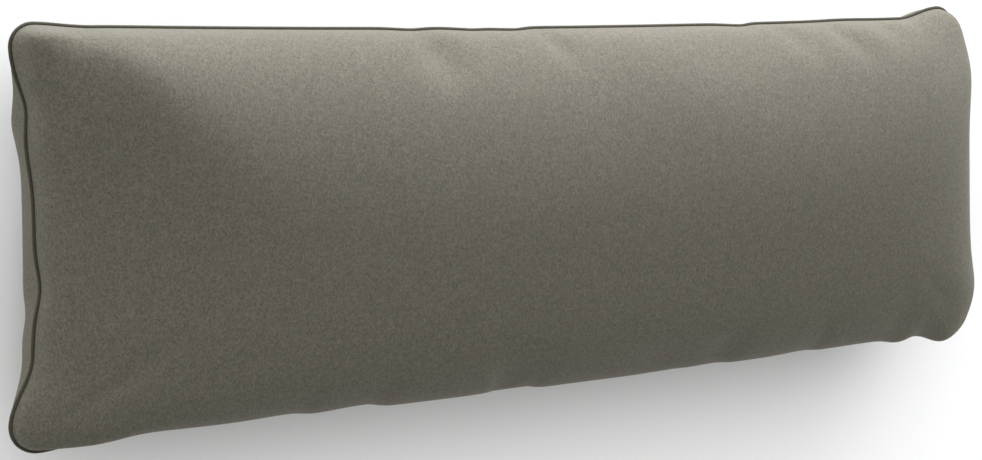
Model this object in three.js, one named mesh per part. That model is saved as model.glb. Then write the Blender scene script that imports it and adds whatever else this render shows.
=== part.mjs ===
// Long knife-edge back cushion, lying on its back.
// X runs along the cushion, +Y is the edge that stands uppermost in use and +Z is the front face.
// The origin is the middle of the flat patch that rests on the floor. Sizes are in millimetres.

import * as THREE from "three";
import { ParametricGeometry } from "three/addons/geometries/ParametricGeometry.js";
import { mergeGeometries, mergeVertices } from "three/addons/utils/BufferGeometryUtils.js";

// Overall size, from corner tip to corner tip over the piping
const LENGTH = 1200;
const WIDTH = 400;
const CORNER_RADIUS = 23;
const SEAM_INSET = 5.4; // from the overall size in to the sewn edge

// How far each corner tip lies outside (or, where negative, inside) the plain rectangle
// thinning: share of its height that the front loses at the tip
// hip: how sharply the front's end slope and side slope meet on the way to the tip
const TIPS = {
  lowerLeft: { along: 6, across: 1.5, thinning: 0.4, hip: 2.2 },
  lowerRight: { along: -2, across: -10, thinning: 0.24, hip: 1.8 },
  upperLeft: { along: 0, across: 4, thinning: 0.02, hip: 3.2 },
  upperRight: { along: -4, across: 2.5, thinning: 0.3, hip: 1.8 },
};
const BACK_TIP = { thinning: 0.62, hip: 2 };
const EAR_SIZE = 75; // reach of the thinning round a corner tip

// Filling: heights above and below the seam
const CROWN = 92;
const BACK_DEPTH = 80;
const RESTING_SHARE = 0.86; // of the back's height, above which it is pressed flat
const BACK_ROUNDNESS = 1.5;

// Height of a panel from each side: (1 - |place| ^ power) ^ bluntness
const BACK_END = { power: 3, bluntness: 0.38 };
const BACK_SIDE = { power: 2, bluntness: 0.47 };
const PROFILES = {
  front: {
    left: { power: 2.7, bluntness: 0.44 },
    right: { power: 4, bluntness: 0.29 },
    bottom: { power: 2.4, bluntness: 0.37 },
    top: { power: 2.1, bluntness: 0.54 },
  },
  back: { left: BACK_END, right: BACK_END, bottom: BACK_SIDE, top: BACK_SIDE },
};

// Seam
const SEAM_THICKNESS = 1.6;
const PIPING_RADIUS = 2;
const PIPING_GAP = 0.4;
const EAR_START = 22; // along the edge from a corner tip to where the seam starts to draw in
const EAR_REACH = 62; // and from there to its full draw

// How far each side is drawn in: by its first corner, by its second corner, and extra at mid-side
// tuck: how much deeper its seam lies than the cloth that swells out beside it
const SIDES = {
  left: { first: 13, second: 10, middle: 9, tuck: 4 },
  right: { first: -12, second: -3, middle: 3, tuck: 5 },
  bottom: { first: 3.5, second: 3.5, middle: -6.5, tuck: 10 },
  top: { first: -2.5, second: 6.5, middle: 7.6, tuck: 4 },
};
const TUCK_HEIGHT = 0.4; // share of the crown's height at which a tuck has run out

// Single gathers: how far each pulls in the seam, and the front and back cloth that swells out beside it
// A negative value lets them out; before and after: reach towards -X or -Y and towards +X or +Y
const GATHERS = [
  { side: "left", at: -160, before: 20, after: 20, seam: 0, front: 0, back: 3 },
  { side: "left", at: -115, before: 26, after: 26, seam: 0, front: 0, back: -4 },
  { side: "left", at: -46, before: 24, after: 24, seam: 6, front: 1, back: -1 },
  { side: "left", at: 92, before: 36, after: 36, seam: -6, front: 0, back: 2 },
  { side: "left", at: 112, before: 32, after: 32, seam: 1, front: -6, back: -16 },
  { side: "left", at: 165, before: 20, after: 18, seam: 2, front: 2, back: 2 },
  { side: "right", at: -155, before: 54, after: 54, seam: -9, front: -18, back: -14 },
  { side: "right", at: 138, before: 50, after: 50, seam: -5, front: -10, back: -9 },
  { side: "bottom", at: -530, before: 40, after: 38, seam: -6, front: -9.5, back: -8 },
  { side: "bottom", at: -318, before: 50, after: 14, seam: 2, front: 3, back: 2 },
  { side: "bottom", at: -233, before: 50, after: 14, seam: 2, front: 4, back: 2 },
  { side: "bottom", at: -41, before: 50, after: 9, seam: 2, front: 3, back: 2 },
  { side: "bottom", at: 150, before: 40, after: 14, seam: 1, front: 1, back: 1 },
  { side: "bottom", at: 208, before: 40, after: 14, seam: 2, front: 2, back: 2 },
  { side: "bottom", at: 335, before: 40, after: 14, seam: 2, front: 2, back: 2 },
  { side: "bottom", at: 475, before: 20, after: 18, seam: 0, front: -5, back: 0 },
  { side: "bottom", at: 550, before: 30, after: 28, seam: 0, front: -14, back: 0 },
  { side: "top", at: -540, before: 24, after: 30, seam: 1, front: 1, back: 1 },
  { side: "top", at: -158, before: 26, after: 16, seam: 1.5, front: 1, back: 1 },
  { side: "top", at: -85, before: 26, after: 16, seam: 1.3, front: 1, back: 1 },
  { side: "top", at: -31, before: 45, after: 14, seam: 2, front: 1, back: 1 },
  { side: "top", at: 275, before: 30, after: 10, seam: 2, front: 1, back: 1 },
  { side: "top", at: 425, before: 40, after: 40, seam: -1, front: -1, back: -1 },
  { side: "top", at: 545, before: 26, after: 26, seam: 0, front: 0, back: -8 },
];

// Soft creases of the front panel, from where each leaves the seam; a negative depth is a ridge
// turn: degrees from +X; peak: share of its length at which it is deepest
// left and right: reach to each side of its run
const CREASES = [
  { x: -576, y: 227, turn: -45, length: 415, peak: 0.04, left: 92, right: 99, depth: -19 },
  { x: -602, y: 182, turn: -2, length: 110, peak: 0.35, left: 11, right: 52, depth: 7 },
  { x: -541, y: 206, turn: -41, length: 165, peak: 0.23, left: 16, right: 25, depth: -1.5 },
  { x: -173, y: 190, turn: -49, length: 80, peak: 0.45, left: 24, right: 24, depth: 10 },
  { x: -15, y: 191, turn: -53, length: 64, peak: 0.35, left: 16, right: 13, depth: 8.5 },
  { x: 50, y: 196, turn: -30, length: 270, peak: 0.2, left: 30, right: 62, depth: -3.5 },
  { x: 285, y: 190, turn: -26, length: 92, peak: 0.45, left: 14, right: 15, depth: 5.5 },
  { x: 374, y: 189, turn: -39, length: 85, peak: 0.3, left: 15, right: 14, depth: 6.5 },
  { x: 440, y: 198, turn: -33, length: 72, peak: 0.4, left: 14, right: 14, depth: 5.5 },
  { x: -91, y: -184, turn: 36, length: 70, peak: 0.15, left: 30, right: 17, depth: 6.3 },
  { x: 126, y: -186, turn: 86, length: 50, peak: 0.45, left: 44, right: 40, depth: 6 },
  { x: 206, y: -183, turn: 88, length: 52, peak: 0.32, left: 31, right: 27, depth: 6.3 },
  { x: 351, y: -184, turn: 103, length: 80, peak: 0.3, left: 20, right: 10, depth: 1.2 },
  { x: 480, y: -179, turn: 82, length: 105, peak: 0.15, left: 55, right: 28, depth: 4 },
];
const CREASE_START = 0.3; // share of the crown's height below which creases fade into the seam

// Facets
const COLUMNS = 72;
const ROWS = 32;
const EDGE_CROWDING = 0.7; // 0 spaces the facets evenly, 1 crowds them most towards the seam
const PIPING_SIDES = 6;
const WELD_DISTANCE = 0.001;

const CLOTH_COLOUR = 0x565248;
const PIPING_COLOUR = 0x39372f;

const HALF_LENGTH = LENGTH / 2 - SEAM_INSET;
const HALF_WIDTH = WIDTH / 2 - SEAM_INSET;
const AROUND = 2 * (COLUMNS + ROWS);

const { clamp, lerp, degToRad, smoothstep } = THREE.MathUtils;

/** A bell curve of height 1 at 0. */
function bell(distance) {
  return Math.exp(-distance * distance);
}

/** A corner table's value, spread evenly over the panel. */
function spread(column, u, v) {
  const lower = lerp(TIPS.lowerLeft[column], TIPS.lowerRight[column], (1 + u) / 2);
  const upper = lerp(TIPS.upperLeft[column], TIPS.upperRight[column], (1 + u) / 2);
  return lerp(lower, upper, (1 + v) / 2);
}

/** How far a panel's side is drawn in at place s, from -1 to 1; slack is 1 at the seam and 0 past its tuck. */
function drawIn(side, s, half, slack, face) {
  const { first, second, middle, tuck } = SIDES[side];
  const fromFirst = smoothstep(half * (1 + s), EAR_START, EAR_START + EAR_REACH);
  const fromSecond = smoothstep(half * (1 - s), EAR_START, EAR_START + EAR_REACH);
  const even = lerp(first, second, (1 + s) / 2) + middle * (1 - s * s) + tuck * slack;
  let depth = fromFirst * fromSecond * even;
  for (const gather of GATHERS) {
    if (gather.side === side) {
      const distance = half * s - gather.at;
      const reach = distance < 0 ? gather.before : gather.after;
      depth += lerp(gather[face], gather.seam, slack) * bell(distance / reach);
    }
  }
  return depth;
}

/** Where place (u, v) of a panel lies in plan, at a share of its height, its corners rounded. */
function plan(u, v, height, face) {
  const slack = 1 - smoothstep(height, 0, TUCK_HEIGHT);
  const left = (drawIn("left", v, HALF_WIDTH, slack, face) * (1 - u)) / 2;
  const right = (drawIn("right", v, HALF_WIDTH, slack, face) * (1 + u)) / 2;
  const bottom = (drawIn("bottom", u, HALF_LENGTH, slack, face) * (1 - v)) / 2;
  const top = (drawIn("top", u, HALF_LENGTH, slack, face) * (1 + v)) / 2;
  const p = Math.max(1 - (HALF_LENGTH * (1 - Math.abs(u))) / CORNER_RADIUS, 0);
  const q = Math.max(1 - (HALF_WIDTH * (1 - Math.abs(v))) / CORNER_RADIUS, 0);
  const roundX = CORNER_RADIUS * p * (1 - Math.sqrt(1 - (q * q) / 2));
  const roundY = CORNER_RADIUS * q * (1 - Math.sqrt(1 - (p * p) / 2));
  return new THREE.Vector2(
    u * (HALF_LENGTH + spread("along", u, v)) + left - right - Math.sign(u) * roundX,
    v * (HALF_WIDTH + spread("across", u, v)) + bottom - top - Math.sign(v) * roundY,
  );
}

/** Height of a profile, from 0 at the seam to 1 at mid-panel. */
function rise(place, profile) {
  return Math.pow(1 - Math.pow(Math.abs(place), profile.power), profile.bluntness);
}

/** Height of a panel at (u, v), from 0 to 1: end and side slopes meet in soft hips, and the ears are thin. */
function crown(u, v, face) {
  const { left, right, bottom, top } = PROFILES[face];
  const end = rise(u, u < 0 ? left : right);
  const side = rise(v, v < 0 ? bottom : top);
  const product = end * side;
  if (product === 0) {
    return 0;
  }
  const hip = face === "front" ? spread("hip", u, v) : BACK_TIP.hip;
  const thinning = face === "front" ? spread("thinning", u, v) : BACK_TIP.thinning;
  const sum = end ** hip + side ** hip - product ** hip;
  const toTip = Math.hypot(HALF_LENGTH * (1 - Math.abs(u)), HALF_WIDTH * (1 - Math.abs(v)));
  return (product / sum ** (1 / hip)) * (1 - thinning * bell(toTip / EAR_SIZE));
}

/** Depth of the front panel's creases at a point in plan. */
function creaseDepth(x, y) {
  let depth = 0;
  for (const crease of CREASES) {
    const turn = degToRad(crease.turn);
    const along = (x - crease.x) * Math.cos(turn) + (y - crease.y) * Math.sin(turn);
    const across = (y - crease.y) * Math.cos(turn) - (x - crease.x) * Math.sin(turn);
    const share = clamp(along / crease.length, 0, 1);
    const fade = smoothstep(share, 0, crease.peak) * (1 - smoothstep(share, crease.peak, 1));
    depth += crease.depth * fade * bell(across / (across > 0 ? crease.left : crease.right));
  }
  return depth;
}

/** How far a panel stands off the seam: the front with its creases, the back pressed flat on the floor. */
function lift(x, y, height, face) {
  if (face === "front") {
    return CROWN * height - creaseDepth(x, y) * smoothstep(height, 0, CREASE_START);
  }
  const share = Math.min(height / RESTING_SHARE, 1);
  return (BACK_DEPTH - SEAM_THICKNESS / 2) * (1 - (1 - share) ** BACK_ROUNDNESS);
}

/** A point of a panel. */
function panelPoint(u, v, face, target) {
  const height = crown(u, v, face);
  const { x, y } = plan(u, v, height, face);
  const outward = face === "front" ? 1 : -1;
  target.set(x, y, BACK_DEPTH + outward * (SEAM_THICKNESS / 2 + lift(x, y, height, face)));
}

/** Spreads even steps from -1 to 1 so that they crowd towards both ends. */
function crowd(step) {
  return lerp(step, Math.sin((step * Math.PI) / 2), EDGE_CROWDING);
}

/** Place (u, v) on the seam after a number of facets round it, anticlockwise from the lower left corner. */
function seamPlace(facets) {
  const walked = (facets + AROUND) % AROUND;
  if (walked < COLUMNS) {
    return [crowd((2 * walked) / COLUMNS - 1), -1];
  }
  if (walked < COLUMNS + ROWS) {
    return [1, crowd((2 * (walked - COLUMNS)) / ROWS - 1)];
  }
  if (walked < 2 * COLUMNS + ROWS) {
    return [crowd(1 - (2 * (walked - COLUMNS - ROWS)) / COLUMNS), 1];
  }
  return [-1, crowd(1 - (2 * (walked - 2 * COLUMNS - ROWS)) / ROWS)];
}

/** Where the sewn edge lies in plan after a number of facets round it; both panels meet there. */
function seamPoint(facets) {
  const [u, v] = seamPlace(facets);
  return plan(u, v, 0, "front");
}

/** Welds open sheets into one closed body. */
function weld(sheets) {
  const joined = mergeGeometries(sheets);
  joined.deleteAttribute("normal");
  joined.deleteAttribute("uv");
  const closed = mergeVertices(joined, WELD_DISTANCE);
  closed.computeVertexNormals();
  return closed;
}

/** Front panel, back panel and the sewn edge between them, as one filled body. */
function cushionBody() {
  const front = (s, t, target) => panelPoint(crowd(2 * s - 1), crowd(2 * t - 1), "front", target);
  const back = (s, t, target) => panelPoint(crowd(1 - 2 * s), crowd(2 * t - 1), "back", target);
  const sewnEdge = (s, t, target) => {
    const { x, y } = seamPoint(s * AROUND);
    target.set(x, y, BACK_DEPTH + (t - 0.5) * SEAM_THICKNESS);
  };
  return weld([
    new ParametricGeometry(front, COLUMNS, ROWS),
    new ParametricGeometry(back, COLUMNS, ROWS),
    new ParametricGeometry(sewnEdge, AROUND, 1),
  ]);
}

/** Covered cord that follows the sewn edge just outside it. */
function pipingLoop() {
  const cord = (s, t, target) => {
    const facets = s * AROUND;
    const along = seamPoint(facets + 1).sub(seamPoint(facets - 1)).normalize();
    const outward = new THREE.Vector2(along.y, -along.x);
    const angle = 2 * Math.PI * t;
    const reach = PIPING_RADIUS + PIPING_GAP + PIPING_RADIUS * Math.cos(angle);
    const centre = seamPoint(facets).addScaledVector(outward, reach);
    target.set(centre.x, centre.y, BACK_DEPTH + PIPING_RADIUS * Math.sin(angle));
  };
  return weld([new ParametricGeometry(cord, AROUND, PIPING_SIDES)]);
}

/** A named piece in its own cloth. */
function piece(name, geometry, color) {
  const cloth = new THREE.MeshStandardMaterial({ color, roughness: 0.95, metalness: 0 });
  const mesh = new THREE.Mesh(geometry, cloth);
  mesh.name = name;
  return mesh;
}

const cushion = new THREE.Group();
cushion.add(piece("cushion_body", cushionBody(), CLOTH_COLOUR));
cushion.add(piece("piping", pipingLoop(), PIPING_COLOUR));

export default cushion;
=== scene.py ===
"""Long knife-edge back cushion of plain woven cloth with a piped seam, lying on its back.

Sizes are in millimetres, and meshes are in metres.
X runs along the cushion, +Y is the edge that stands uppermost in use and +Z is the front face.
"""

import logging
import math
from dataclasses import dataclass
from enum import Enum

import bmesh
import bpy
import numpy as np
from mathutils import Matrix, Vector


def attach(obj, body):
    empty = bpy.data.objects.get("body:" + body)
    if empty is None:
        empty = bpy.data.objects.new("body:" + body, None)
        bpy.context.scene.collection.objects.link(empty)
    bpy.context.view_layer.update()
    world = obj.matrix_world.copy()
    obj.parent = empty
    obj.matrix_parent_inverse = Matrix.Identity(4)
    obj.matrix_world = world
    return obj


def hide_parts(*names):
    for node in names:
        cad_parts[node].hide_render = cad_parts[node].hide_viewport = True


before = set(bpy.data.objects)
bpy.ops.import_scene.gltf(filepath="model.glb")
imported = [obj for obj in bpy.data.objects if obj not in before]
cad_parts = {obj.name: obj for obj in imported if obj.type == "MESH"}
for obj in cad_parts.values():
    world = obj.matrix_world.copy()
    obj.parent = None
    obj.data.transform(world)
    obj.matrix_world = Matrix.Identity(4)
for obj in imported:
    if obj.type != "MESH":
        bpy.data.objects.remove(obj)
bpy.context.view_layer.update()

LOG = logging.getLogger("back_cushion")
METRES = 0.001
WEAVE_MAP = "weave"
FRONT = 1.0
BACK = 0.0
MID_FACE = (FRONT + BACK) / 2
TINY = 1e-12


def smoothstep(value: np.ndarray, low: float, high: float) -> np.ndarray:
    """Smooth step from 0 at low to 1 at high."""
    share = np.clip((value - low) / (high - low), 0.0, 1.0)
    return share * share * (3.0 - 2.0 * share)


def bell(distance: np.ndarray) -> np.ndarray:
    """Bell curve of height 1 at 0."""
    return np.exp(-distance * distance)


def blend(first: np.ndarray, second: np.ndarray, share: np.ndarray) -> np.ndarray:
    """Straight mix of two values, from the first at share 0 to the second at share 1."""
    return first + (second - first) * share


class Edge(Enum):
    """A side of the cushion, as the front shows it."""

    LEFT = "left"
    RIGHT = "right"
    BOTTOM = "bottom"
    TOP = "top"


@dataclass(frozen=True)
class Tip:
    """How far a corner tip lies outside the plain rectangle, the height share lost there, and its hip.

    hip is how sharply the end slope and the side slope meet on the way to the tip.
    """

    along: float
    across: float
    thinning: float
    hip: float


@dataclass(frozen=True)
class Draw:
    """How far a side is drawn in: by each of its corners, extra at mid-side, and extra at its seam."""

    first: float
    second: float
    middle: float
    tuck: float


@dataclass(frozen=True)
class Gather:
    """A single pull on a side: on its seam, and on the front and back cloth that swells out beside it.

    before and after are its reach along the side towards -X or -Y and towards +X or +Y.
    """

    side: Edge
    at: float
    before: float
    after: float
    seam: float
    front: float
    back: float

    def pull(self, along: np.ndarray, slack: np.ndarray, face: np.ndarray) -> np.ndarray:
        """How far it draws in the side.

        Args:
            along: places along the side.
            slack: 1 at the seam and 0 past its tuck.
            face: FRONT or BACK at each place.

        Returns:
            The depth at each place.
        """
        depth = blend(blend(self.back, self.front, face), self.seam, slack)
        distance = along - self.at
        return depth * bell(distance / np.where(distance < 0.0, self.before, self.after))


@dataclass(frozen=True)
class Profile:
    """Height of a panel from its edge: (1 - |place| ** power) ** bluntness."""

    power: float
    bluntness: float

    def rise(self, place: np.ndarray) -> np.ndarray:
        """Height from 0 at the seam to 1 at mid-panel."""
        return (1.0 - np.abs(place) ** self.power) ** self.bluntness


@dataclass(frozen=True)
class Crease:
    """A soft trough of the front panel, or a ridge where its depth is negative, that runs from the seam.

    turn is in degrees from +X, and peak is the share of its length at which it is deepest.
    left and right are its reach to each side of its run.
    """

    x: float
    y: float
    turn: float
    length: float
    peak: float
    left: float
    right: float
    depth: float

    def depth_at(self, x: np.ndarray, y: np.ndarray) -> np.ndarray:
        """Depth of the trough at points in plan.

        Args:
            x: places along the cushion.
            y: places across the cushion.

        Returns:
            The depth at each point.
        """
        turn = math.radians(self.turn)
        along = (x - self.x) * math.cos(turn) + (y - self.y) * math.sin(turn)
        across = (y - self.y) * math.cos(turn) - (x - self.x) * math.sin(turn)
        share = np.clip(along / self.length, 0.0, 1.0)
        fade = smoothstep(share, 0.0, self.peak) * (1.0 - smoothstep(share, self.peak, 1.0))
        reach = np.where(across > 0.0, self.left, self.right)
        return self.depth * fade * bell(across / reach)


@dataclass(frozen=True)
class FilledForm:
    """The filled cover as a function of place (u, v) on a panel, each from -1 to 1."""

    length: float = 1200.0
    width: float = 400.0
    corner_radius: float = 23.0
    crown_height: float = 92.0
    back_depth: float = 80.0
    resting_share: float = 0.86
    back_roundness: float = 1.5
    back_hip: float = 2.0
    back_thinning: float = 0.62
    back_end: Profile = Profile(power=3.0, bluntness=0.38)
    back_side: Profile = Profile(power=2.0, bluntness=0.47)
    ear_size: float = 75.0
    ear_start: float = 22.0
    ear_reach: float = 62.0
    tuck_height: float = 0.4
    seam_thickness: float = 1.6
    edge_offset: float = 5.4
    crease_start: float = 0.3
    lower_left: Tip = Tip(along=6.0, across=1.5, thinning=0.4, hip=2.2)
    lower_right: Tip = Tip(along=-2.0, across=-10.0, thinning=0.24, hip=1.8)
    upper_left: Tip = Tip(along=0.0, across=4.0, thinning=0.02, hip=3.2)
    upper_right: Tip = Tip(along=-4.0, across=2.5, thinning=0.3, hip=1.8)

    PROFILES = {
        Edge.LEFT: Profile(power=2.7, bluntness=0.44),
        Edge.RIGHT: Profile(power=4.0, bluntness=0.29),
        Edge.BOTTOM: Profile(power=2.4, bluntness=0.37),
        Edge.TOP: Profile(power=2.1, bluntness=0.54),
    }

    DRAWS = {
        Edge.LEFT: Draw(first=13.0, second=10.0, middle=9.0, tuck=4.0),
        Edge.RIGHT: Draw(first=-12.0, second=-3.0, middle=3.0, tuck=5.0),
        Edge.BOTTOM: Draw(first=3.5, second=3.5, middle=-6.5, tuck=10.0),
        Edge.TOP: Draw(first=-2.5, second=6.5, middle=7.6, tuck=4.0),
    }

    GATHERS = (
        Gather(Edge.LEFT, at=-160, before=20, after=20, seam=0, front=0, back=3),
        Gather(Edge.LEFT, at=-115, before=26, after=26, seam=0, front=0, back=-4),
        Gather(Edge.LEFT, at=-74, before=14, after=12, seam=0, front=0, back=4),
        Gather(Edge.LEFT, at=-46, before=24, after=24, seam=6, front=1, back=-1),
        Gather(Edge.LEFT, at=92, before=36, after=36, seam=-6, front=0, back=2),
        Gather(Edge.LEFT, at=112, before=32, after=32, seam=1, front=-6, back=-16),
        Gather(Edge.LEFT, at=165, before=20, after=18, seam=2, front=2, back=2),
        Gather(Edge.RIGHT, at=-155, before=54, after=54, seam=-9, front=-18, back=-14),
        Gather(Edge.RIGHT, at=138, before=50, after=50, seam=-5, front=-10, back=-9),
        Gather(Edge.BOTTOM, at=-530, before=40, after=38, seam=-6, front=-9.5, back=-8),
        Gather(Edge.BOTTOM, at=-318, before=50, after=14, seam=2, front=3, back=2),
        Gather(Edge.BOTTOM, at=-233, before=50, after=14, seam=2, front=4, back=2),
        Gather(Edge.BOTTOM, at=-41, before=50, after=9, seam=2, front=3, back=2),
        Gather(Edge.BOTTOM, at=150, before=40, after=14, seam=1, front=1, back=1),
        Gather(Edge.BOTTOM, at=208, before=40, after=14, seam=2, front=2, back=2),
        Gather(Edge.BOTTOM, at=335, before=40, after=14, seam=2, front=2, back=2),
        Gather(Edge.BOTTOM, at=475, before=20, after=18, seam=0, front=-5, back=0),
        Gather(Edge.BOTTOM, at=550, before=30, after=28, seam=0, front=-14, back=0),
        Gather(Edge.TOP, at=-540, before=24, after=30, seam=1, front=1, back=1),
        Gather(Edge.TOP, at=-158, before=26, after=16, seam=1.5, front=1, back=1),
        Gather(Edge.TOP, at=-85, before=26, after=16, seam=1.3, front=1, back=1),
        Gather(Edge.TOP, at=-31, before=45, after=14, seam=2, front=1, back=1),
        Gather(Edge.TOP, at=275, before=30, after=10, seam=2, front=1, back=1),
        Gather(Edge.TOP, at=425, before=40, after=40, seam=-1, front=-1, back=-1),
        Gather(Edge.TOP, at=568, before=30, after=20, seam=0, front=0, back=-26),
    )

    CREASES = (
        Crease(x=-576, y=227, turn=-45, length=415, peak=0.04, left=92, right=99, depth=-19),
        Crease(x=-602, y=182, turn=-2, length=110, peak=0.35, left=11, right=52, depth=7),
        Crease(x=-541, y=206, turn=-41, length=165, peak=0.23, left=16, right=25, depth=-1.5),
        Crease(x=-173, y=190, turn=-49, length=80, peak=0.45, left=24, right=24, depth=10),
        Crease(x=-15, y=191, turn=-53, length=64, peak=0.35, left=16, right=13, depth=8.5),
        Crease(x=50, y=196, turn=-30, length=270, peak=0.2, left=30, right=62, depth=-3.5),
        Crease(x=285, y=190, turn=-26, length=92, peak=0.45, left=14, right=15, depth=5.5),
        Crease(x=374, y=189, turn=-39, length=85, peak=0.3, left=15, right=14, depth=6.5),
        Crease(x=440, y=198, turn=-33, length=72, peak=0.4, left=14, right=14, depth=5.5),
        Crease(x=-91, y=-184, turn=36, length=70, peak=0.15, left=30, right=17, depth=6.3),
        Crease(x=126, y=-186, turn=86, length=50, peak=0.45, left=44, right=40, depth=6),
        Crease(x=206, y=-183, turn=88, length=52, peak=0.32, left=31, right=27, depth=6.3),
        Crease(x=351, y=-184, turn=103, length=80, peak=0.3, left=20, right=10, depth=1.2),
        Crease(x=480, y=-179, turn=82, length=105, peak=0.15, left=55, right=28, depth=4),
    )

    @property
    def half_length(self) -> float:
        """Half the length inside the piping."""
        return self.length / 2.0 - self.edge_offset

    @property
    def half_width(self) -> float:
        """Half the width inside the piping."""
        return self.width / 2.0 - self.edge_offset

    def spread(self, column: str, u: np.ndarray, v: np.ndarray) -> np.ndarray:
        """A value of the corner tips, spread evenly over the panel."""
        lower = blend(getattr(self.lower_left, column), getattr(self.lower_right, column), (1 + u) / 2)
        upper = blend(getattr(self.upper_left, column), getattr(self.upper_right, column), (1 + u) / 2)
        return blend(lower, upper, (1 + v) / 2)

    def front_rise(self, place: np.ndarray, first: Edge, second: Edge) -> np.ndarray:
        """Height share of the front between two opposite sides, each with its own profile."""
        return np.where(place < 0.0, self.PROFILES[first].rise(place), self.PROFILES[second].rise(place))

    def draw_in(
        self, side: Edge, place: np.ndarray, half: float, slack: np.ndarray, face: np.ndarray
    ) -> np.ndarray:
        """How far a side is drawn in.

        Args:
            side: which side.
            place: places along it, from -1 to 1.
            half: half its length.
            slack: 1 at the seam and 0 past its tuck.
            face: FRONT or BACK at each place.

        Returns:
            The depth at each place.
        """
        draw = self.DRAWS[side]
        ear_end = self.ear_start + self.ear_reach
        fade = smoothstep(half * (1 + place), self.ear_start, ear_end)
        fade = fade * smoothstep(half * (1 - place), self.ear_start, ear_end)
        even = blend(draw.first, draw.second, (1 + place) / 2)
        depth = fade * (even + draw.middle * (1 - place * place) + draw.tuck * slack)
        for gather in self.GATHERS:
            if gather.side is side:
                depth = depth + gather.pull(half * place, slack, face)
        return depth

    def plan(
        self, u: np.ndarray, v: np.ndarray, height: np.ndarray, face: np.ndarray
    ) -> tuple[np.ndarray, np.ndarray]:
        """Where places of a panel lie in plan, with round corners.

        Args:
            u: places along the panel.
            v: places across the panel.
            height: share of the crown's height there.
            face: FRONT or BACK at each place.

        Returns:
            The x and y of each place.
        """
        slack = 1.0 - smoothstep(height, 0.0, self.tuck_height)
        left = self.draw_in(Edge.LEFT, v, self.half_width, slack, face) * (1 - u) / 2
        right = self.draw_in(Edge.RIGHT, v, self.half_width, slack, face) * (1 + u) / 2
        bottom = self.draw_in(Edge.BOTTOM, u, self.half_length, slack, face) * (1 - v) / 2
        top = self.draw_in(Edge.TOP, u, self.half_length, slack, face) * (1 + v) / 2
        radius = self.corner_radius
        p = np.maximum(1 - self.half_length * (1 - np.abs(u)) / radius, 0.0)
        q = np.maximum(1 - self.half_width * (1 - np.abs(v)) / radius, 0.0)
        round_x = np.sign(u) * radius * p * (1 - np.sqrt(1 - q * q / 2))
        round_y = np.sign(v) * radius * q * (1 - np.sqrt(1 - p * p / 2))
        x = u * (self.half_length + self.spread("along", u, v)) + left - right - round_x
        y = v * (self.half_width + self.spread("across", u, v)) + bottom - top - round_y
        return x, y

    def crown(self, u: np.ndarray, v: np.ndarray, face: np.ndarray) -> np.ndarray:
        """Height share of a panel: end and side slopes meet in soft hips, and the ears are thin."""
        front = face == FRONT
        end = np.where(front, self.front_rise(u, Edge.LEFT, Edge.RIGHT), self.back_end.rise(u))
        side = np.where(front, self.front_rise(v, Edge.BOTTOM, Edge.TOP), self.back_side.rise(v))
        k = np.where(front, self.spread("hip", u, v), self.back_hip)
        total = np.maximum(end**k + side**k - (end * side) ** k, TINY)
        to_tip = np.hypot(self.half_length * (1 - np.abs(u)), self.half_width * (1 - np.abs(v)))
        thinning = np.where(front, self.spread("thinning", u, v), self.back_thinning)
        return end * side / total ** (1 / k) * (1 - thinning * bell(to_tip / self.ear_size))

    def points(self, place: np.ndarray) -> tuple[np.ndarray, np.ndarray]:
        """Points of the smooth filled cover.

        Args:
            place: rows of (u, v, face), where face is FRONT or BACK.

        Returns:
            The points and the crown's height share at each.
        """
        u, v, face = place.T
        height = self.crown(u, v, face)
        x, y = self.plan(u, v, height, face)
        half_seam = self.seam_thickness / 2
        share = np.minimum(height / self.resting_share, 1.0)
        below = (self.back_depth - half_seam) * (1 - (1 - share) ** self.back_roundness)
        z = np.where(face == FRONT, half_seam + self.crown_height * height, -half_seam - below)
        return np.column_stack([x, y, self.back_depth + z]), height

    def crease_depth(self, points: np.ndarray, height: np.ndarray) -> np.ndarray:
        """Depth of the front panel's creases at points of it."""
        depth = np.zeros(len(points))
        for crease in self.CREASES:
            depth += crease.depth_at(points[:, 0], points[:, 1])
        return depth * smoothstep(height, 0.0, self.crease_start)


def crowd(step: np.ndarray, share: float) -> np.ndarray:
    """Spreads even steps from -1 to 1 so that they crowd towards both ends."""
    return blend(step, np.sin(step * math.pi / 2), share)


def read_points(mesh: bpy.types.Mesh) -> np.ndarray:
    """A mesh's vertices as rows of x, y, z."""
    flat = np.zeros(len(mesh.vertices) * 3, np.float32)
    mesh.vertices.foreach_get("co", flat)
    return flat.reshape(-1, 3).astype(float)


def write_points(mesh: bpy.types.Mesh, points: np.ndarray) -> None:
    """Sets a mesh's vertices from rows of x, y, z."""
    mesh.vertices.foreach_set("co", points.astype(np.float32).ravel())
    mesh.update()


def mesh_object(name: str, bm: bmesh.types.BMesh) -> bpy.types.Object:
    """Turns a bmesh into a smooth-shaded object at the origin and frees the bmesh."""
    mesh = bpy.data.meshes.new(name)
    bm.to_mesh(mesh)
    bm.free()
    mesh.polygons.foreach_set("use_smooth", [True] * len(mesh.polygons))
    piece = bpy.data.objects.new(name, mesh)
    bpy.context.scene.collection.objects.link(piece)
    return piece


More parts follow.
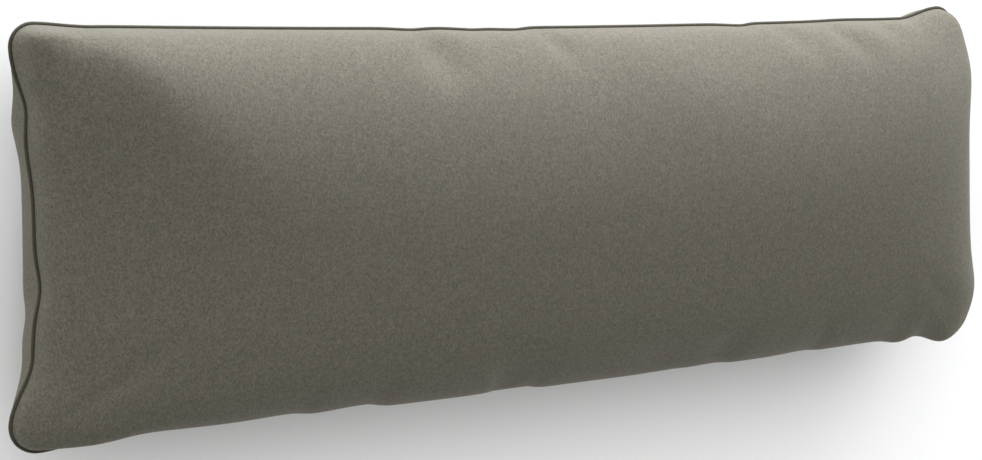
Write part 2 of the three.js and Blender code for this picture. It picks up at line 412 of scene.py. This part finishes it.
@dataclass(frozen=True)
class Filling:
    """How the filling presses the cover out, in a short cloth simulation."""

    pressure: float = 1.0
    frames: int = 20
    cap: float = 3.0
    smoothing: int = 40
    quality: int = 6
    stiffness: float = 15.0
    shear: float = 5.0
    bending: float = 0.6
    damping: float = 8.0

    def swell(self, cover: bpy.types.Object, seam: list[int]) -> np.ndarray:
        """Lets the filling press the cover out between its sewn edges.

        Args:
            cover: the closed cover.
            seam: vertices that the sewing holds.

        Returns:
            Where each vertex has moved to, in metres.
        """
        held = cover.vertex_groups.new(name="seam")
        held.add(seam, 1.0, "REPLACE")
        cloth = cover.modifiers.new("filling", "CLOTH")
        settings = cloth.settings
        settings.quality = self.quality
        settings.tension_stiffness = self.stiffness
        settings.compression_stiffness = self.stiffness
        settings.shear_stiffness = self.shear
        settings.bending_stiffness = self.bending
        settings.tension_damping = self.damping
        settings.compression_damping = self.damping
        settings.air_damping = self.damping
        settings.use_pressure = True
        settings.uniform_pressure_force = self.pressure
        settings.vertex_group_mass = held.name
        settings.effector_weights.gravity = 0.0
        cloth.point_cache.frame_start = 1
        cloth.point_cache.frame_end = self.frames
        scene = bpy.context.scene
        for step in range(1, self.frames + 1):
            scene.frame_set(step)
        graph = bpy.context.evaluated_depsgraph_get()
        moved = read_points(cover.evaluated_get(graph).data)
        cover.modifiers.remove(cloth)
        cover.vertex_groups.remove(held)
        scene.frame_set(1)
        return moved


@dataclass
class CushionCover:
    """Front and back panels sewn together and filled."""

    form: FilledForm
    filling: Filling
    columns: int = 200
    rows: int = 56
    column_crowding: float = 0.5
    row_crowding: float = 0.7

    def sheets(self) -> bpy.types.Object:
        """Two flat panels joined round their edge, with each vertex at its place (u, v, face)."""
        bm = bmesh.new()
        bmesh.ops.create_grid(bm, x_segments=self.columns, y_segments=self.rows, size=1.0)
        grown = bmesh.ops.extrude_face_region(bm, geom=bm.faces[:])
        lifted = [part for part in grown["geom"] if isinstance(part, bmesh.types.BMVert)]
        bmesh.ops.translate(bm, verts=lifted, vec=(0.0, 0.0, FRONT - BACK))
        bmesh.ops.recalc_face_normals(bm, faces=bm.faces[:])
        return mesh_object("cushion_cover", bm)

    def build(self) -> bpy.types.Object:
        """Shapes, fills and creases the cover.

        Returns:
            The cover, with its weave map.
        """
        cover = self.sheets()
        step = read_points(cover.data)
        place = np.column_stack([
            crowd(step[:, 0], self.column_crowding),
            crowd(step[:, 1], self.row_crowding),
            np.where(step[:, 2] > MID_FACE, FRONT, BACK),
        ])
        grid = self.panel_grid(step)
        points, height = self.form.points(place)
        write_points(cover.data, points * METRES)
        points = self.fill(cover, points, height, grid)
        points[:, 2] -= self.form.crease_depth(points, height) * (place[:, 2] == FRONT)
        write_points(cover.data, points * METRES)
        self.map_weave(cover.data, points, grid)
        finer = cover.modifiers.new("finer", "SUBSURF")
        finer.levels = 1
        finer.render_levels = 1
        return cover

    def panel_grid(self, step: np.ndarray) -> np.ndarray:
        """Vertex numbers of the back and front panels, by row and column."""
        column = np.rint((step[:, 0] + 1) / 2 * self.columns).astype(int)
        row = np.rint((step[:, 1] + 1) / 2 * self.rows).astype(int)
        face = (step[:, 2] > MID_FACE).astype(int)
        grid = np.zeros((2, self.rows + 1, self.columns + 1), int)
        grid[face, row, column] = np.arange(len(step))
        return grid

    def fill(
        self, cover: bpy.types.Object, points: np.ndarray, height: np.ndarray, grid: np.ndarray
    ) -> np.ndarray:
        """Gives the cover the fine unevenness of the pressed-out cloth.

        The form already has the broad swell, so the smooth part of each panel's movement is left out.

        Args:
            cover: the cover at its smooth form.
            points: its points.
            height: share of the crown's height at each.
            grid: vertex numbers of the panels.

        Returns:
            The points, each moved by no more than the cap.
        """
        seam = np.flatnonzero(height <= 0.0)
        shift = self.filling.swell(cover, seam.tolist()) / METRES - points
        broad = shift[grid]
        for _ in range(self.filling.smoothing):
            for axis in (1, 2):
                beside = np.roll(broad, 1, axis) + np.roll(broad, -1, axis)
                broad = (2 * broad + beside) / 4
        shift[grid] -= broad
        distance = np.linalg.norm(shift, axis=1)
        LOG.info("filling moves the cover by %.2f mm on average, %.2f mm at most",
                 distance.mean(), distance.max())
        cap = self.filling.cap
        filled = points + shift * (cap * np.tanh(distance / cap) / np.maximum(distance, TINY))[:, None]
        filled[:, 2] = np.maximum(filled[:, 2], 0.0)
        return filled

    def map_weave(self, mesh: bpy.types.Mesh, points: np.ndarray, grid: np.ndarray) -> None:
        """Lays the weave over each panel by its lengths along and across the cloth, in metres.

        Args:
            mesh: the cover's mesh.
            points: each vertex's point.
            grid: vertex numbers of the panels.
        """
        laid = points[grid]
        along = np.zeros(grid.shape)
        along[:, :, 1:] = np.cumsum(np.linalg.norm(np.diff(laid, axis=2), axis=3), axis=2)
        along -= along[:, :, self.columns // 2, None]
        across = np.zeros(grid.shape)
        across[:, 1:, :] = np.cumsum(np.linalg.norm(np.diff(laid, axis=1), axis=3), axis=1)
        across -= across[:, self.rows // 2, None, :]
        woven = np.zeros((len(points), 2))
        woven[grid] = np.stack([along, across], axis=-1) * METRES
        corner = np.zeros(len(mesh.loops), int)
        mesh.loops.foreach_get("vertex_index", corner)
        layer = mesh.uv_layers.new(name=WEAVE_MAP)
        layer.data.foreach_set("uv", woven[corner].astype(np.float32).ravel())


@dataclass
class PipedSeam:
    """Covered cord sewn into the seam all the way round."""

    form: FilledForm
    radius: float = 2.0
    sunk: float = 1.2
    steps: int = 1600
    sides: int = 12
    samples: int = 800
    crowding: float = 0.5
    weld: float = 0.001

    def route(self) -> tuple[np.ndarray, np.ndarray, float]:
        """Evenly spaced points of the sewn edge.

        Returns:
            The points in plan, the outward direction at each, and the edge's length.
        """
        step = crowd(np.linspace(-1, 1, self.samples), self.crowding)[:-1]
        one = np.ones_like(step)
        u = np.concatenate([step, one, -step, -one])
        v = np.concatenate([-one, step, one, -step])
        x, y = self.form.plan(u, v, np.zeros_like(u), np.full_like(u, FRONT))
        loop = np.column_stack([x, y])
        loop = np.vstack([loop, loop[:1]])
        walked = np.concatenate([[0.0], np.cumsum(np.linalg.norm(np.diff(loop, axis=0), axis=1))])
        even = np.linspace(0, walked[-1], self.steps, endpoint=False)
        points = np.column_stack([np.interp(even, walked, loop[:, k]) for k in range(2)])
        forward = np.roll(points, -1, axis=0) - np.roll(points, 1, axis=0)
        forward /= np.linalg.norm(forward, axis=1)[:, None]
        outward = np.column_stack([forward[:, 1], -forward[:, 0]])
        return points, outward, float(walked[-1])

    def build(self) -> bpy.types.Object:
        """Wraps a strip of cloth round the cord along the seam.

        Returns:
            The piping, with its weave map.
        """
        points, outward, length = self.route()
        bm = bmesh.new()
        bmesh.ops.create_grid(bm, x_segments=self.steps, y_segments=self.sides, size=1.0)
        layer = bm.loops.layers.uv.new(WEAVE_MAP)
        girth = 2 * math.pi * self.radius
        for face in bm.faces:
            for loop in face.loops:
                place = loop.vert.co
                loop[layer].uv = (
                    (place.x + 1) / 2 * length * METRES,
                    (place.y + 1) / 2 * girth * METRES,
                )
        for vert in bm.verts:
            index = round((vert.co.x + 1) / 2 * self.steps) % self.steps
            angle = (vert.co.y + 1) * math.pi
            reach = self.radius - self.sunk - self.radius * math.cos(angle)
            x, y = points[index] + outward[index] * reach
            z = self.form.back_depth + self.radius * math.sin(angle)
            vert.co = Vector((x, y, z)) * METRES
        bmesh.ops.remove_doubles(bm, verts=bm.verts[:], dist=self.weld * METRES)
        bmesh.ops.recalc_face_normals(bm, faces=bm.faces[:])
        return mesh_object("piped_edge", bm)


class NodeSheet:
    """Adds and links nodes of one node tree."""

    def __init__(self, tree: bpy.types.NodeTree) -> None:
        """Keeps the tree."""
        self.tree = tree

    def add(self, kind: str, **settings: object) -> bpy.types.Node:
        """A new node of a kind, with its settings."""
        node = self.tree.nodes.new(kind)
        for name, value in settings.items():
            setattr(node, name, value)
        return node

    def feed(self, socket: bpy.types.NodeSocket, value: object) -> None:
        """Links an output to an input, or sets the input's own value."""
        if isinstance(value, bpy.types.NodeSocket):
            self.tree.links.new(value, socket)
        else:
            socket.default_value = value

    def math(self, operation: str, *values: object) -> bpy.types.NodeSocket:
        """Result of a math node."""
        node = self.add("ShaderNodeMath", operation=operation)
        for socket, value in zip(node.inputs, values):
            self.feed(socket, value)
        return node.outputs[0]

    def combine(self, x: object, y: object, z: object = 0.0) -> bpy.types.NodeSocket:
        """A vector from three values."""
        node = self.add("ShaderNodeCombineXYZ")
        for socket, value in zip(node.inputs, (x, y, z)):
            self.feed(socket, value)
        return node.outputs[0]

    def noise(self, place: object, scale: float, detail: float = 2.0) -> bpy.types.NodeSocket:
        """Value of a noise texture."""
        node = self.add("ShaderNodeTexNoise")
        self.feed(node.inputs["Vector"], place)
        node.inputs["Scale"].default_value = scale
        node.inputs["Detail"].default_value = detail
        return node.outputs["Fac"]

    def spread(self, value: object, low: float, high: float) -> bpy.types.NodeSocket:
        """A value stretched from low and high to 0 and 1."""
        node = self.add("ShaderNodeMapRange", clamp=True)
        self.feed(node.inputs["Value"], value)
        node.inputs["From Min"].default_value = low
        node.inputs["From Max"].default_value = high
        return node.outputs[0]

    def mix(self, share: object, first: object, second: object) -> bpy.types.NodeSocket:
        """Straight mix of two values."""
        node = self.add("ShaderNodeMix", data_type="FLOAT")
        self.feed(node.inputs[0], share)
        self.feed(node.inputs[2], first)
        self.feed(node.inputs[3], second)
        return node.outputs[0]

    def mix_colour(self, share: object, first: object, second: object) -> bpy.types.NodeSocket:
        """Straight mix of two colours."""
        node = self.add("ShaderNodeMix", data_type="RGBA")
        self.feed(node.inputs[0], share)
        self.feed(node.inputs[6], first)
        self.feed(node.inputs[7], second)
        return node.outputs[2]


@dataclass(frozen=True)
class YarnPlaces:
    """Sockets for the place in yarns each way of the cloth, and for the number of the yarn there."""

    warp: bpy.types.NodeSocket
    weft: bpy.types.NodeSocket
    warp_yarn: bpy.types.NodeSocket
    weft_yarn: bpy.types.NodeSocket


@dataclass(frozen=True)
class YarnNoise:
    """A value from 0 to 1 that differs from yarn to yarn and changes slowly along each.

    apart is the noise's step from yarn to yarn, and along its step from crossing to crossing.
    layer keeps it unlike the other noises, and low and high are the noise that gives 0 and 1.
    """

    apart: float
    along: float
    layer: float
    low: float
    high: float
    detail: float

    def on_warp(self, sheet: NodeSheet, yarns: YarnPlaces) -> bpy.types.NodeSocket:
        """The value on the yarns that run across the cushion."""
        x = sheet.math("MULTIPLY", yarns.warp_yarn, self.apart)
        y = sheet.math("MULTIPLY", yarns.weft, self.along)
        return self.value(sheet, x, y)

    def on_weft(self, sheet: NodeSheet, yarns: YarnPlaces) -> bpy.types.NodeSocket:
        """The value on the yarns that run along the cushion."""
        x = sheet.math("MULTIPLY", yarns.warp, self.along)
        y = sheet.math("MULTIPLY", yarns.weft_yarn, self.apart)
        return self.value(sheet, x, y)

    def value(self, sheet: NodeSheet, x: object, y: object) -> bpy.types.NodeSocket:
        """The value at a place of this noise's layer."""
        place = sheet.combine(x, y, self.layer)
        return sheet.spread(sheet.noise(place, scale=1.0, detail=self.detail), self.low, self.high)


@dataclass(frozen=True)
class PlainWeave:
    """A plain weave of uneven yarns.

    sway is how many yarns' width the yarns wander, and slub how much lighter their thick places are.
    patch is how much the tone changes over the cloth, in patches that are patch_scale to the metre.
    crossing is the share of its height that a yarn keeps where it dives under another.
    """

    sway: float = 1.4
    sway_scale: float = 0.07
    warp_tone: YarnNoise = YarnNoise(apart=7.3, along=0.36, layer=0.0, low=0.36, high=0.64, detail=1.0)
    weft_tone: YarnNoise = YarnNoise(apart=7.7, along=0.55, layer=9.0, low=0.36, high=0.64, detail=1.0)
    warp_slub: YarnNoise = YarnNoise(apart=5.1, along=0.15, layer=3.0, low=0.6, high=0.75, detail=0.0)
    weft_slub: YarnNoise = YarnNoise(apart=5.3, along=0.2, layer=6.0, low=0.6, high=0.75, detail=0.0)
    slub: float = 0.32
    patch: float = 0.04
    patch_scale: float = 9.0
    patch_detail: float = 3.0
    crossing: float = 0.5
    plain_relief: float = 0.7
    tone_relief: float = 0.6

    INPUTS = {
        "Place": "NodeSocketVector",
        "Yarns per Metre": "NodeSocketFloat",
        "Dark Yarn": "NodeSocketColor",
        "Light Yarn": "NodeSocketColor",
    }
    OUTPUTS = {"Colour": "NodeSocketColor", "Relief": "NodeSocketFloat"}

    def group(self) -> bpy.types.NodeTree:
        """Shader group of the weave: its colour and its relief."""
        group = bpy.data.node_groups.new("plain_weave", "ShaderNodeTree")
        for name, kind in self.INPUTS.items():
            group.interface.new_socket(name=name, in_out="INPUT", socket_type=kind)
        for name, kind in self.OUTPUTS.items():
            group.interface.new_socket(name=name, in_out="OUTPUT", socket_type=kind)
        sheet = NodeSheet(group)
        given = sheet.add("NodeGroupInput").outputs
        made = sheet.add("NodeGroupOutput").inputs
        yarns = self.yarn_places(sheet, given["Place"], given["Yarns per Metre"])
        tone = self.tone(sheet, yarns)
        patch = sheet.noise(given["Place"], scale=self.patch_scale, detail=self.patch_detail)
        shade = sheet.math("MULTIPLY_ADD", sheet.math("SUBTRACT", patch, 0.5), self.patch, tone)
        sheet.feed(made["Colour"], sheet.mix_colour(shade, given["Dark Yarn"], given["Light Yarn"]))
        fullness = sheet.math("MULTIPLY_ADD", tone, self.tone_relief, self.plain_relief)
        sheet.feed(made["Relief"], sheet.math("MULTIPLY", self.height(sheet, yarns), fullness))
        return group

    def yarn_places(
        self, sheet: NodeSheet, place: bpy.types.NodeSocket, pitch: bpy.types.NodeSocket
    ) -> YarnPlaces:
        """Counts the yarns, which wander a little.

        Args:
            sheet: the group's nodes.
            place: place on the cloth, in metres.
            pitch: yarns to the metre.

        Returns:
            The places each way in yarns.
        """
        scaled = sheet.add("ShaderNodeVectorMath", operation="SCALE")
        sheet.feed(scaled.inputs[0], place)
        sheet.feed(scaled.inputs["Scale"], pitch)
        apart = sheet.add("ShaderNodeSeparateXYZ")
        sheet.feed(apart.inputs[0], scaled.outputs[0])
        sway = sheet.noise(scaled.outputs[0], scale=self.sway_scale)
        warp = sheet.math("MULTIPLY_ADD", sway, self.sway, apart.outputs[0])
        weft = sheet.math("MULTIPLY_ADD", sway, -self.sway, apart.outputs[1])
        return YarnPlaces(warp, weft, sheet.math("FLOOR", warp), sheet.math("FLOOR", weft))

    def tone(self, sheet: NodeSheet, yarns: YarnPlaces) -> bpy.types.NodeSocket:
        """Mean tone of the two yarns at a place, lighter at their thick places."""
        warp_tone = self.warp_tone.on_warp(sheet, yarns)
        weft_tone = self.weft_tone.on_weft(sheet, yarns)
        warp_slub = self.warp_slub.on_warp(sheet, yarns)
        weft_slub = self.weft_slub.on_weft(sheet, yarns)
        slubs = sheet.math("ADD", warp_slub, weft_slub)
        return sheet.math("MULTIPLY_ADD", slubs, self.slub, sheet.mix(0.5, warp_tone, weft_tone))

    def height(self, sheet: NodeSheet, yarns: YarnPlaces) -> bpy.types.NodeSocket:
        """Height of the round yarns, which pass over and under each other in turn."""
        over = sheet.math("PINGPONG", sheet.math("ADD", yarns.warp_yarn, yarns.weft_yarn), 1.0)
        warp_round = sheet.math("ABSOLUTE", sheet.math("SINE", sheet.math("MULTIPLY", yarns.warp, math.pi)))
        weft_round = sheet.math("ABSOLUTE", sheet.math("SINE", sheet.math("MULTIPLY", yarns.weft, math.pi)))
        top = sheet.mix(over, warp_round, weft_round)
        run = sheet.mix(over, weft_round, warp_round)
        dive = sheet.math("MULTIPLY_ADD", run, 1.0 - self.crossing, self.crossing)
        return sheet.math("MULTIPLY", top, dive)


@dataclass(frozen=True)
class ClothFinish:
    """A plain woven cloth: its slot, which names its material, its yarn tones, its pitch and how it takes
    the light.
    """

    slot: str
    dark: tuple[float, float, float]
    light: tuple[float, float, float]
    yarns_per_metre: float
    turn: float
    relief: float
    sheen: float
    roughness: float = 0.92
    specular: float = 0.2
    sheen_roughness: float = 0.5
    sheen_tint: tuple[float, float, float] = (1.0, 0.95, 0.84)
    bump_strength: float = 0.5

    def material(self, weave: bpy.types.NodeTree) -> bpy.types.Material:
        """The cloth's material.

        Args:
            weave: the shared weave group.

        Returns:
            A material that reads the piece's weave map.
        """
        cloth = bpy.data.materials.new("woven_" + self.slot)
        cloth.use_nodes = True
        sheet = NodeSheet(cloth.node_tree)
        shader = cloth.node_tree.nodes["Principled BSDF"]
        place = sheet.add("ShaderNodeUVMap", uv_map=WEAVE_MAP)
        turned = sheet.add("ShaderNodeMapping")
        sheet.feed(turned.inputs["Vector"], place.outputs[0])
        turned.inputs["Rotation"].default_value = (0.0, 0.0, math.radians(self.turn))
        woven = sheet.add("ShaderNodeGroup", node_tree=weave)
        sheet.feed(woven.inputs["Place"], turned.outputs[0])
        woven.inputs["Yarns per Metre"].default_value = self.yarns_per_metre
        woven.inputs["Dark Yarn"].default_value = (*self.dark, 1.0)
        woven.inputs["Light Yarn"].default_value = (*self.light, 1.0)
        bump = sheet.add("ShaderNodeBump")
        bump.inputs["Strength"].default_value = self.bump_strength
        bump.inputs["Distance"].default_value = self.relief * METRES
        sheet.feed(bump.inputs["Height"], woven.outputs["Relief"])
        sheet.feed(shader.inputs["Base Color"], woven.outputs["Colour"])
        sheet.feed(shader.inputs["Normal"], bump.outputs["Normal"])
        shader.inputs["Roughness"].default_value = self.roughness
        shader.inputs["Specular IOR Level"].default_value = self.specular
        shader.inputs["Sheen Weight"].default_value = self.sheen
        shader.inputs["Sheen Roughness"].default_value = self.sheen_roughness
        shader.inputs["Sheen Tint"].default_value = (*self.sheen_tint, 1.0)
        return cloth


COVER_CLOTH = ClothFinish(
    slot="cover_cloth", dark=(0.0625, 0.0579, 0.0436), light=(0.1165, 0.108, 0.0826),
    yarns_per_metre=820.0, turn=0.0, relief=0.2, sheen=0.14,
)
PIPING_CLOTH = ClothFinish(
    slot="piping_cloth", dark=(0.028, 0.026, 0.0165), light=(0.053, 0.0495, 0.032),
    yarns_per_metre=1000.0, turn=45.0, relief=0.25, sheen=0.15,
)


@dataclass(frozen=True)
class SoftLight:
    """A large soft panel light, in metres and watts."""

    name: str
    place: tuple[float, float, float]
    aim: tuple[float, float, float]
    width: float
    height: float
    power: float
    colour: tuple[float, float, float] = (1.0, 1.0, 1.0)

    def hang(self) -> bpy.types.Object:
        """Puts the light in the studio."""
        lamp = bpy.data.lights.new(self.name, "AREA")
        lamp.shape = "RECTANGLE"
        lamp.size = self.width
        lamp.size_y = self.height
        lamp.energy = self.power
        lamp.color = self.colour
        panel = bpy.data.objects.new(self.name, lamp)
        panel.location = self.place
        panel.rotation_euler = (Vector(self.aim) - Vector(self.place)).to_track_quat("-Z", "Y").to_euler()
        panel.visible_camera = False
        bpy.context.scene.collection.objects.link(panel)
        return panel


@dataclass
class Studio:
    """Plain pale floor, soft light and the camera."""

    floor_size: float = 80.0
    floor_colour: tuple[float, float, float] = (0.9, 0.9, 0.9)
    upper_light: float = 2.4
    right_light: float = 1.54
    left_light: float = 1.31
    lens: float = 97.7
    sensor: float = 36.0
    camera_place: tuple[float, float, float] = (-1.6213, 0.2731, 2.3363)
    camera_aim: tuple[float, float, float] = (-0.0594, -0.0228, 0.080)
    lights: tuple[SoftLight, ...] = (
        SoftLight(
            "key_light", place=(0.5, 2.4, 0.18), aim=(0.05, 0.1, 0.1),
            width=2.4, height=0.3, power=144.0, colour=(0.88, 0.905, 1.0),
        ),
    )

    def lay_floor(self) -> bpy.types.Object:
        """A plain pale floor."""
        bm = bmesh.new()
        bmesh.ops.create_grid(bm, x_segments=1, y_segments=1, size=self.floor_size / 2)
        floor = mesh_object("studio_floor", bm)
        paint = bpy.data.materials.new("floor_paint")
        paint.use_nodes = True
        shader = paint.node_tree.nodes["Principled BSDF"]
        shader.inputs["Base Color"].default_value = (*self.floor_colour, 1.0)
        shader.inputs["Roughness"].default_value = 1.0
        shader.inputs["Specular IOR Level"].default_value = 0.0
        floor.data.materials.append(paint)
        return floor

    def light(self) -> None:
        """Soft light from the cushion's uppermost side and from both ends, and the soft panels."""
        scene = bpy.context.scene
        sky = scene.world or bpy.data.worlds.new("studio")
        scene.world = sky
        sky.use_nodes = True
        sheet = NodeSheet(sky.node_tree)
        direction = sheet.add("ShaderNodeTexCoord")
        apart = sheet.add("ShaderNodeSeparateXYZ")
        sheet.feed(apart.inputs[0], direction.outputs["Generated"])
        along, across = apart.outputs[0], apart.outputs[1]
        upper = sheet.math("MAXIMUM", sheet.math("MULTIPLY", across, self.upper_light), 0.0)
        right = sheet.math("MULTIPLY", along, self.right_light)
        left = sheet.math("MULTIPLY", along, -self.left_light)
        ends = sheet.math("MAXIMUM", right, left)
        background = sky.node_tree.nodes["Background"]
        background.inputs["Color"].default_value = (1.0, 1.0, 1.0, 1.0)
        sheet.feed(background.inputs["Strength"], sheet.math("ADD", upper, ends))
        scene.view_settings.view_transform = "Standard"
        for panel in self.lights:
            panel.hang()

    def set_camera(self) -> None:
        """The camera, level with the cushion's upper edge, at the photograph's angle to its face."""
        lens = bpy.data.cameras.new("photo_camera")
        lens.sensor_width = self.sensor
        lens.lens = self.lens
        camera = bpy.data.objects.new("photo_camera", lens)
        forward = (Vector(self.camera_aim) - Vector(self.camera_place)).normalized()
        right = forward.cross(Vector((0.0, 1.0, 0.0))).normalized()
        upward = right.cross(forward)
        turn = camera.matrix_world.to_3x3()
        turn.col[0] = right
        turn.col[1] = upward
        turn.col[2] = -forward
        camera.matrix_world = turn.to_4x4()
        camera.location = self.camera_place
        bpy.context.scene.collection.objects.link(camera)
        bpy.context.scene.camera = camera


def dress(piece: bpy.types.Object, finish: ClothFinish, weave: bpy.types.NodeTree, node: str) -> None:
    """Gives a piece its cloth and puts it in the place of its solid.

    Args:
        piece: the finished piece.
        finish: its cloth.
        weave: the shared weave group.
        node: the solid that it replaces.
    """
    piece.data.materials.append(finish.material(weave))
    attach(piece, "root")
    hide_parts(node)
    LOG.info("%s replaces %s with %d faces", piece.name, node, len(piece.data.polygons))


def main() -> None:
    """Builds the studio and the dressed cushion."""
    logging.basicConfig(level=logging.INFO, format="%(name)s: %(message)s")
    studio = Studio()
    studio.set_camera()
    studio.lay_floor()
    studio.light()
    weave = PlainWeave().group()
    form = FilledForm()
    cover = CushionCover(form=form, filling=Filling()).build()
    dress(cover, COVER_CLOTH, weave, "cushion_body")
    piping = PipedSeam(form=form).build()
    dress(piping, PIPING_CLOTH, weave, "piping")


if __name__ == "__main__":
    main()
